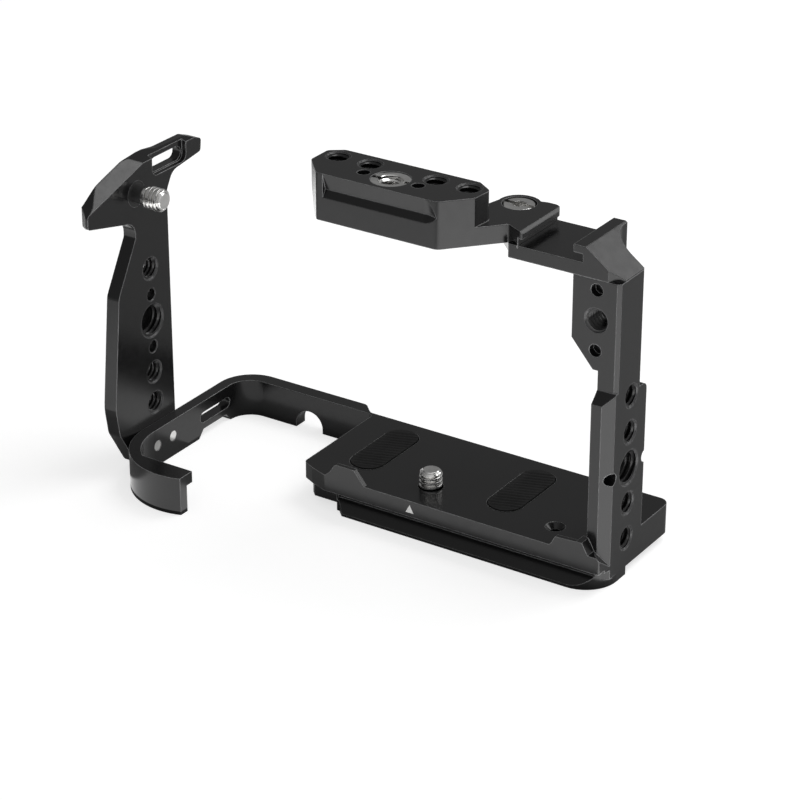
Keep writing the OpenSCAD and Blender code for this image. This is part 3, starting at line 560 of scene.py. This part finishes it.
@dataclass
class Maker:
    """Turns finished meshes into pieces that ride on the frame's bodies."""

    frame: dict
    materials: dict[str, bpy.types.Material] = field(default_factory=dict)

    def piece(self, name: str, mesh: bmesh.types.BMesh, material: bpy.types.Material, body: str,
              slot: str, smooth: float = 35.0) -> bpy.types.Object:
        """Makes an object from a mesh.

        Args:
            name: Name of the piece.
            mesh: Its mesh, which is freed.
            material: Its finish.
            body: CAD body that it rides on.
            slot: Material slot of the record; not used.
            smooth: Largest angle of a smooth edge, in degrees.

        Returns:
            The new object.
        """
        limit = math.radians(smooth)
        for face in mesh.faces:
            face.smooth = True
        for edge in mesh.edges:
            edge.smooth = edge.is_manifold and edge.calc_face_angle(math.pi) < limit
        data = bpy.data.meshes.new(name)
        mesh.to_mesh(data)
        mesh.free()
        made = bpy.data.objects.new(name, data)
        made.data.materials.append(material)
        bpy.context.scene.collection.objects.link(made)
        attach(made, body)
        LOG.info("%s: %d faces", name, len(data.polygons))
        return made

    def dress(self, node: str, material: bpy.types.Material) -> None:
        """Gives a CAD node a finish.

        Args:
            node: Name of the node.
            material: Its finish.
        """
        shown = self.frame["nodes"][node]
        if not shown.material_slots:
            shown.data.materials.append(material)
        for material_slot in shown.material_slots:
            material_slot.material = material
        LOG.info("%s: dressed in %s", node, material.name)


@dataclass
class MilledFrame:
    """The frame, side plate, top bar and block in black anodised aluminium, with their threads."""

    maker: Maker
    finish: AnodisedFinish = AnodisedFinish("black_anodised")
    thread_finish: AnodisedFinish = AnodisedFinish("anodised_thread", edge=0.05 * MM)
    nodes: tuple[str, ...] = ("main_frame", "side_plate", "top_bar", "handle_block")
    # Painted highlight: the chamfered mouths are coloured lighter than the frame, so that their rims show as
    # a light ring.
    mouth_highlight_finish: AnodisedFinish = AnodisedFinish("anodised_mouth_painted_highlight", dark=(0.03, 0.03, 0.031),
                                                  light=(0.05, 0.05, 0.051), edge=0.08 * MM)
    mouth: float = 0.2 * MM
    mouth_depth: float = 0.4 * MM
    crest_side: float = 149.7
    crest_in: float = 0.2
    closed_skin: float = 0.3 * MM
    closed_depth: float = 3.3 * MM
    overlap: float = 0.02 * MM
    seat: float = 0.03 * MM

    def build(self) -> None:
        """Dresses the nodes and lines their threaded holes."""
        material = self.finish.build()
        for node in self.nodes:
            self.maker.dress(node, material)
        thread = self.thread_finish.build()
        mouth = self.mouth_highlight_finish.build()
        for part, slot in (("plate", "anodised_plate"), ("column", "anodised"), ("block", "anodised_block")):
            self.line_holes(part, thread, mouth, slot)

    def holes(self, part: str) -> list[dict]:
        """The threaded holes of one part.

        Args:
            part: Start of the names of its mounts.

        Returns:
            Their entries in the record, and one for the closed hole of the side plate.
        """
        mounts = self.maker.frame["record"]["mounts"]
        found = [m for m in mounts if m["kind"] == "threaded_hole" and m["name"].startswith(part + "_")]
        if part == "plate":
            pins = [Vector(m["pos_m"]) for m in mounts if m["name"].startswith("plate_locating_")]
            middle = (pins[0] + pins[1]) / 2 + Vector((self.closed_skin, 0, 0))
            found.append({"pos_m": middle, "axis": Axis.RIGHT.value,
                          "dims": {"r_mm": THREE_EIGHTHS.major / MM, "length_mm": self.closed_depth / MM}})
        return found

    def line_holes(self, part: str, thread: bpy.types.Material, mouth: bpy.types.Material, slot: str) -> None:
        """Lines the threaded holes of one part with helical ridges and chamfered mouths.

        Args:
            part: Part that holds them.
            thread: Finish of the ridges.
            mouth: Finish of the mouths, painted lighter than the frame as a highlight on their rims.
            slot: Material slot of the record.
        """
        ridges, mouths = bmesh.new(), bmesh.new()
        for hole in self.holes(part):
            radius = hole["dims"]["r_mm"] * MM
            half = hole["dims"]["length_mm"] * MM / 2
            form = QUARTER if radius < (QUARTER.major + THREE_EIGHTHS.major) / 2 else THREE_EIGHTHS
            axis = Vector(hole["axis"])
            if part == "plate":
                axis = Axis.RIGHT.vector()
            place = Matrix.Translation(hole["pos_m"]) @ axis.to_track_quat("Z", "Y").to_matrix().to_4x4()
            ridge = Shaper.coil(form, radius + self.seat, form.minor, -half, half - self.mouth)
            if part == "plate":
                shown = (2 * half - self.mouth + form.pitch * self.crest_in) / form.pitch * math.tau
                ridge.transform(Matrix.Rotation(math.radians(self.crest_side) - shown, 4, "Z"))
            Shaper.join(ridges, ridge, place)
            Shaper.join(mouths, self.mouth_ring(radius, half), place)
        self.maker.piece(part + "_threads", ridges, thread, FRAME_BODY, slot)
        self.maker.piece(part + "_mouths", mouths, mouth, FRAME_BODY, slot)

    def mouth_ring(self, radius: float, top: float) -> bmesh.types.BMesh:
        """The chamfered start of a thread, as a thin ring about +Z.

        Args:
            radius: Radius of the bore.
            top: Height of the end of the straight wall.

        Returns:
            A new closed mesh.
        """
        return Shaper.lathe([(radius + self.seat, top + self.overlap),
                             (radius - self.mouth, top - self.mouth),
                             (radius + self.seat, top - self.mouth_depth),
                             (radius + self.seat, top + self.overlap)])


@dataclass
class SteelScrews:
    """The bright parts: the camera, side, block, plate and bar screws, and the reducer."""

    maker: Maker
    crest_cut: float = 0.03 * MM
    root_cut: float = 0.12 * MM
    tip: float = 0.7 * MM
    dome: float = 0.12 * MM
    core_chamfer_height: float = 0.55
    core_chamfer_width: float = 0.45
    dome_edge: float = 0.35
    dome_ring: float = 0.55
    dome_ring_drop: float = 0.1
    ridge_end: float = 0.5
    taper_end: float = 0.35
    taper: float = 1.1
    camera_thread: float = 4.9 * MM
    side_thread: float = 5.1 * MM
    side_neck: float = 1.5 * MM
    camera_neck: float = 0.1 * MM
    seat: float = 0.03 * MM
    reducer_slot: float = 0.45 * MM

    def steel(self, node: str, axis: Axis) -> bpy.types.Material:
        """Steel with lathe rings about the node's own axis.

        Args:
            node: CAD node that gives the middle of the rings.
            axis: Direction of its axis.

        Returns:
            The material.
        """
        low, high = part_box(node)
        turn = axis.turn().to_euler()
        return TurnedSteelFinish("steel_" + node, tuple((low + high) / 2), tuple(turn)).build()

    def build(self) -> None:
        """Dresses the plain screws and makes the two threaded ones."""
        for node, axis in (("block_screw", Axis.UP), ("side_plate_screws", Axis.RIGHT),
                           ("top_bar_screws", Axis.FRONT)):
            self.maker.dress(node, self.steel(node, axis))
        self.reducer()
        self.camera_screw()
        self.side_screw()

    def reducer(self) -> None:
        """Dresses the reducer and lines it with its inner thread."""
        material = self.steel("reducer_bushing", Axis.UP)
        self.maker.dress("reducer_bushing", material)
        mount = next(m for m in self.maker.frame["record"]["mounts"] if m["name"] == "insert_quarter")
        half = mount["dims"]["length_mm"] * MM / 2
        ridge = Shaper.coil(QUARTER, QUARTER.major + self.seat, QUARTER.minor,
                            -half, half - self.reducer_slot)
        ridge.transform(Matrix.Translation(mount["pos_m"]))
        self.maker.piece("reducer_thread", ridge, material, FRAME_BODY, "steel_insert")

    def threaded_end(self, form: ThreadForm, low: float, high: float, neck: float) -> bmesh.types.BMesh:
        """The threaded end of a screw about +Z, with a chamfered and slightly domed tip.

        Args:
            form: Thread of the screw.
            low: Height where the thread starts.
            high: Height of the tip.
            neck: Length of the plain neck below the thread.

        Returns:
            A new mesh.
        """
        root = form.minor - self.root_cut
        core = Shaper.lathe([(0.0, low), (root, low), (root, high - self.tip * self.core_chamfer_height),
                             (root - self.tip * self.core_chamfer_width, high - self.dome * self.dome_edge),
                             (root * self.dome_ring, high - self.dome * self.dome_ring_drop), (0.0, high)])
        ridge = Shaper.coil(form, root - self.crest_cut, form.major - self.crest_cut, low + neck,
                            high - self.tip * self.ridge_end)
        for vertex in ridge.verts:
            radius = math.hypot(vertex.co.x, vertex.co.y)
            room = form.minor + max(0.0, (high - self.tip * self.taper_end - vertex.co.z)) * self.taper
            if radius > room:
                vertex.co.x *= room / radius
                vertex.co.y *= room / radius
        Shaper.join(core, ridge)
        return core

    def camera_screw(self) -> None:
        """The screw that stands up out of the seat."""
        low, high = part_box("camera_screw")
        head = Shaper.merged_node(self.maker.frame["nodes"]["camera_screw"])
        middle = (low + high) / 2
        start = high.z - self.camera_thread
        Shaper.cut(head, Vector((middle.x, middle.y, start)), Vector((0, 0, 1)))
        Shaper.join(head, self.threaded_end(SCREW, start, high.z, self.camera_neck),
                    Matrix.Translation((middle.x, middle.y, 0)))
        piece = self.maker.piece("camera_screw_thread", head, self.steel("camera_screw", Axis.UP),
                                 "camera_screw_body", "steel_thread")
        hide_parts("camera_screw")

    def side_screw(self) -> None:
        """The screw that points into the cage near the top of the side plate."""
        low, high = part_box("side_lock_screw")
        head = Shaper.merged_node(self.maker.frame["nodes"]["side_lock_screw"])
        middle = (low + high) / 2
        start = high.x - self.side_thread - self.side_neck
        Shaper.cut(head, Vector((start, middle.y, middle.z)), Vector((1, 0, 0)))
        end = self.threaded_end(SCREW, start, high.x, self.side_neck)
        Shaper.join(head, end, Matrix.Translation((0, middle.y, middle.z)) @ Axis.RIGHT.turn())
        piece = self.maker.piece("side_screw_thread", head, self.steel("side_lock_screw", Axis.RIGHT),
                                 "side_screw_body", "steel_thread")
        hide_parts("side_lock_screw")


@dataclass
class RubberPads:
    """The two obround rubber pads of the seat, with slanted ribs."""

    maker: Maker
    finish: RubberFinish = RubberFinish("black_rubber")
    rib_pitch: float = 1.5 * MM
    rib_depth: float = 0.6 * MM
    rib_turn: float = 20.0
    rim: float = 0.4 * MM
    gap: float = 0.25 * MM
    groove_share: float = 0.3
    groove_steep: float = 1.6
    rim_drop: float = 0.3
    rim_run: float = 0.6
    sides: int = 48
    sheet: float = 1.3
    smooth: float = 50.0
    fine: int = 6

    def build(self) -> None:
        """Makes both pads."""
        material = self.finish.build()
        for node in ("pad_left", "pad_right"):
            piece = self.maker.piece(node + "_ribbed", self.ribbed(node), material, FRAME_BODY,
                                     "rubber", self.smooth)
            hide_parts(node)

    def ribbed(self, node: str) -> bmesh.types.BMesh:
        """The mesh of one pad.

        Args:
            node: CAD node that it stands for.

        Returns:
            A closed mesh.
        """
        low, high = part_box(node)
        middle = (low + high) / 2
        width, length = high.x - low.x, high.y - low.y
        side = length * self.sheet
        columns = round(side / self.rib_pitch) * self.fine
        made = bmesh.new()
        bmesh.ops.create_grid(made, x_segments=6, y_segments=columns, size=side / 2)
        bmesh.ops.rotate(made, cent=(0, 0, 0), matrix=Matrix.Rotation(math.radians(self.rib_turn), 3, "Z"),
                         verts=made.verts)
        radius = width / 2 - self.gap
        straight = (length - width) / 2
        for step in range(self.sides):
            angle = math.tau * step / self.sides
            outward = Vector((math.cos(angle), math.sin(angle), 0))
            centre = Vector((0, math.copysign(straight, outward.y), 0))
            bmesh.ops.bisect_plane(made, geom=[*made.verts, *made.edges, *made.faces],
                                   dist=MERGE_DISTANCE / 4, plane_co=centre + outward * radius,
                                   plane_no=outward, clear_outer=True)
        across = Vector((-math.sin(math.radians(self.rib_turn)), math.cos(math.radians(self.rib_turn)), 0))
        for vertex in made.verts:
            phase = (vertex.co.dot(across) / self.rib_pitch) % 1.0
            groove = max(0.0, 1.0 - abs(phase - 0.5) / self.groove_share)
            inside = Vector((vertex.co.x, vertex.co.y - max(-straight, min(straight, vertex.co.y)), 0)).length
            calm = min(1.0, max(0.0, (radius - inside - self.rim * self.rim_drop) / self.rim))
            flat = min(1.0, (radius - inside) / (self.rim * self.rim_run))
            cut = self.rib_depth * min(1.0, groove * self.groove_steep) * calm
            vertex.co.z = -cut - self.rim * self.rim_drop * (1 - flat)
        bmesh.ops.translate(made, vec=(middle.x, middle.y, high.z), verts=made.verts)
        rim = [e for e in made.edges if e.is_boundary]
        walls = bmesh.ops.extrude_edge_only(made, edges=rim)
        for part in walls["geom"]:
            if isinstance(part, bmesh.types.BMVert):
                part.co.z = low.z
        bmesh.ops.holes_fill(made, edges=[e for e in made.edges if e.is_boundary], sides=0)
        bmesh.ops.recalc_face_normals(made, faces=made.faces)
        return made


@dataclass
class SmallParts:
    """The nylon sleeve and the painted index mark."""

    maker: Maker
    mark_width: float = 2.5 * MM
    mark_height: float = 2.3 * MM
    mark_proud: float = 0.03 * MM
    mark_from_seat: float = 1.2 * MM
    seat_height: float = 11.0 * MM
    seat_front: float = 41.6 * MM

    def build(self) -> None:
        """Dresses the sleeve and paints the mark."""
        self.maker.dress("side_screw_sleeve", NylonFinish("black_nylon").build())
        self.mark()

    def mark(self) -> None:
        """A white triangle on the front of the base, under the camera screw."""
        screw_low, screw_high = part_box("camera_screw")
        frame_low, frame_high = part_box("main_frame")
        front = frame_high.y - self.seat_front
        x = (screw_low.x + screw_high.x) / 2
        top = self.seat_height - self.mark_from_seat
        made = bmesh.new()
        corners = [made.verts.new(p) for p in ((x - self.mark_width / 2, front, top - self.mark_height),
                                               (x + self.mark_width / 2, front, top - self.mark_height),
                                               (x, front, top))]
        face = made.faces.new(corners)
        raised = bmesh.ops.extrude_face_region(made, geom=[face])
        bmesh.ops.translate(made, vec=(0, -self.mark_proud, 0),
                            verts=[v for v in raised["geom"] if isinstance(v, bmesh.types.BMVert)])
        bmesh.ops.recalc_face_normals(made, faces=made.faces)
        self.maker.piece("index_mark", made, PaintFinish("white_paint").build(), FRAME_BODY, "nylon")


@dataclass
class Lamp:
    """One soft box."""

    name: str
    place: Point
    aim: Point
    width: float
    height: float
    power: float

    def build(self) -> None:
        """Adds the lamp to the scene."""
        data = bpy.data.lights.new(self.name, "AREA")
        data.shape = "RECTANGLE"
        data.size, data.size_y = self.width, self.height
        data.energy = self.power
        made = bpy.data.objects.new(self.name, data)
        made.location = self.place
        made.visible_camera = False
        made.rotation_mode = "QUATERNION"
        made.rotation_quaternion = (Vector(self.aim) - Vector(self.place)).to_track_quat("-Z", "Y")
        bpy.context.scene.collection.objects.link(made)


@dataclass
class Studio:
    """Pale floor, soft light and the camera at the photograph's angle."""

    camera_place: Point = (0.38505, -0.57676, 0.37425)
    camera_turn: float = 33.247
    camera_lift: float = 26.205
    lens: float = 131.232
    sensor: float = 36.0
    floor_size: float = 8.0
    floor_colour: Colour = (0.55, 0.55, 0.55)
    floor_glow: float = 0.68
    sky_dark: float = 0.22
    sky_bright: float = 0.6
    sky_tilt: Point = (0.9, -0.3, 0.3)
    sky_from: float = -0.35
    sky_to: float = 0.8
    clip: tuple[float, float] = (0.01, 20.0)
    lamps: tuple[Lamp, ...] = (
        Lamp("key_box", (0.26, 0.3, 0.78), (0.0, 0.0, 0.05), 0.45, 0.45, 2.3),
        Lamp("back_right_box", (0.4, 0.68, 0.45), (0.0, 0.0, 0.05), 0.35, 0.35, 0.8),
        Lamp("right_card", (0.2025, -0.11, 0.001), (0.2025, -0.11, 1.0), 0.257, 0.22, 0.44),
        Lamp("left_card", (-0.15, 0.06, 0.001), (-0.15, 0.06, 1.0), 0.14, 0.16, 0.13),
        Lamp("front_card", (0.001, -0.1495, 0.001), (0.001, -0.1495, 1.0), 0.138, 0.261, 0.13),
        Lamp("inner_card", (-0.0475, 0.0115, 0.001), (-0.0475, 0.0115, 1.0), 0.055, 0.019, 0.002),
        Lamp("front_left_card", (-0.134, -0.165, 0.001), (-0.134, -0.165, 1.0), 0.132, 0.23, 0.095),
    )

    def build(self) -> None:
        """Builds the studio."""
        for lamp in self.lamps:
            lamp.build()
        self.world()
        self.floor()
        self.camera()
        bpy.context.scene.view_settings.view_transform = "Standard"

    def world(self) -> None:
        """A sky that is brightest at the right, and that the camera sees as white."""
        world = bpy.data.worlds.new("studio")
        bpy.context.scene.world = world
        world.use_nodes = True
        tree = world.node_tree
        tree.nodes.clear()
        output = tree.nodes.new("ShaderNodeOutputWorld")
        mixed = tree.nodes.new("ShaderNodeMixShader")
        path = tree.nodes.new("ShaderNodeLightPath")
        direction = tree.nodes.new("ShaderNodeTexCoord")
        facing = tree.nodes.new("ShaderNodeVectorMath")
        facing.operation = "DOT_PRODUCT"
        facing.inputs[1].default_value = self.sky_tilt
        level = tree.nodes.new("ShaderNodeMapRange")
        level.interpolation_type = "SMOOTHSTEP"
        level.inputs["From Min"].default_value = self.sky_from
        level.inputs["From Max"].default_value = self.sky_to
        level.inputs["To Min"].default_value = self.sky_dark
        level.inputs["To Max"].default_value = self.sky_bright
        light = tree.nodes.new("ShaderNodeBackground")
        light.inputs["Color"].default_value = (1.0, 1.0, 1.0, 1.0)
        seen = tree.nodes.new("ShaderNodeBackground")
        seen.inputs["Color"].default_value = (1.0, 1.0, 1.0, 1.0)
        tree.links.new(direction.outputs["Generated"], facing.inputs[0])
        tree.links.new(facing.outputs["Value"], level.inputs["Value"])
        tree.links.new(level.outputs["Result"], light.inputs["Strength"])
        tree.links.new(path.outputs["Is Camera Ray"], mixed.inputs["Fac"])
        tree.links.new(light.outputs["Background"], mixed.inputs[1])
        tree.links.new(seen.outputs["Background"], mixed.inputs[2])
        tree.links.new(mixed.outputs["Shader"], output.inputs["Surface"])

    def floor(self) -> None:
        """A plain pale floor that keeps the shadow."""
        mesh = bmesh.new()
        bmesh.ops.create_grid(mesh, x_segments=1, y_segments=1, size=self.floor_size / 2)
        data = bpy.data.meshes.new("floor")
        mesh.to_mesh(data)
        mesh.free()
        made = bpy.data.objects.new("floor", data)
        bpy.context.scene.collection.objects.link(made)
        board = Board("floor_white")
        diffuse = board.add("ShaderNodeBsdfDiffuse")
        diffuse.inputs["Color"].default_value = (*self.floor_colour, 1.0)
        glow = board.add("ShaderNodeEmission")
        glow.inputs["Strength"].default_value = self.floor_glow
        path = board.add("ShaderNodeLightPath")
        black = board.add("ShaderNodeMixShader")
        board.link(path.outputs["Is Camera Ray"], black.inputs["Fac"])
        board.link(glow.outputs["Emission"], black.inputs[2])
        total = board.add("ShaderNodeAddShader")
        board.link(diffuse.outputs["BSDF"], total.inputs[0])
        board.link(black.outputs["Shader"], total.inputs[1])
        board.link(total.outputs["Shader"], board.output.inputs["Surface"])
        made.data.materials.append(board.material)

    def camera(self) -> None:
        """The camera at the photograph's angle."""
        data = bpy.data.cameras.new("camera")
        data.lens, data.sensor_width = self.lens, self.sensor
        data.clip_start, data.clip_end = self.clip
        made = bpy.data.objects.new("camera", data)
        bpy.context.scene.collection.objects.link(made)
        turn, lift = math.radians(self.camera_turn), math.radians(self.camera_lift)
        back = Vector((math.sin(turn) * math.cos(lift), -math.cos(turn) * math.cos(lift), math.sin(lift)))
        made.location = self.camera_place
        made.rotation_mode = "QUATERNION"
        made.rotation_quaternion = (-back).to_track_quat("-Z", "Y")
        bpy.context.scene.camera = made


def corners(box: tuple[Vector, Vector]) -> list[list[float]]:
    """A box as plain lists of numbers."""
    return [list(corner) for corner in box]


def main() -> None:
    """Builds the cage's looks and the studio in order."""
    logging.basicConfig(level=logging.INFO, format="%(name)s: %(message)s")
    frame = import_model()
    maker = Maker(frame)
    MilledFrame(maker).build()
    SteelScrews(maker).build()
    RubberPads(maker).build()
    SmallParts(maker).build()
    Studio().build()


if __name__ == "__main__":
    main()
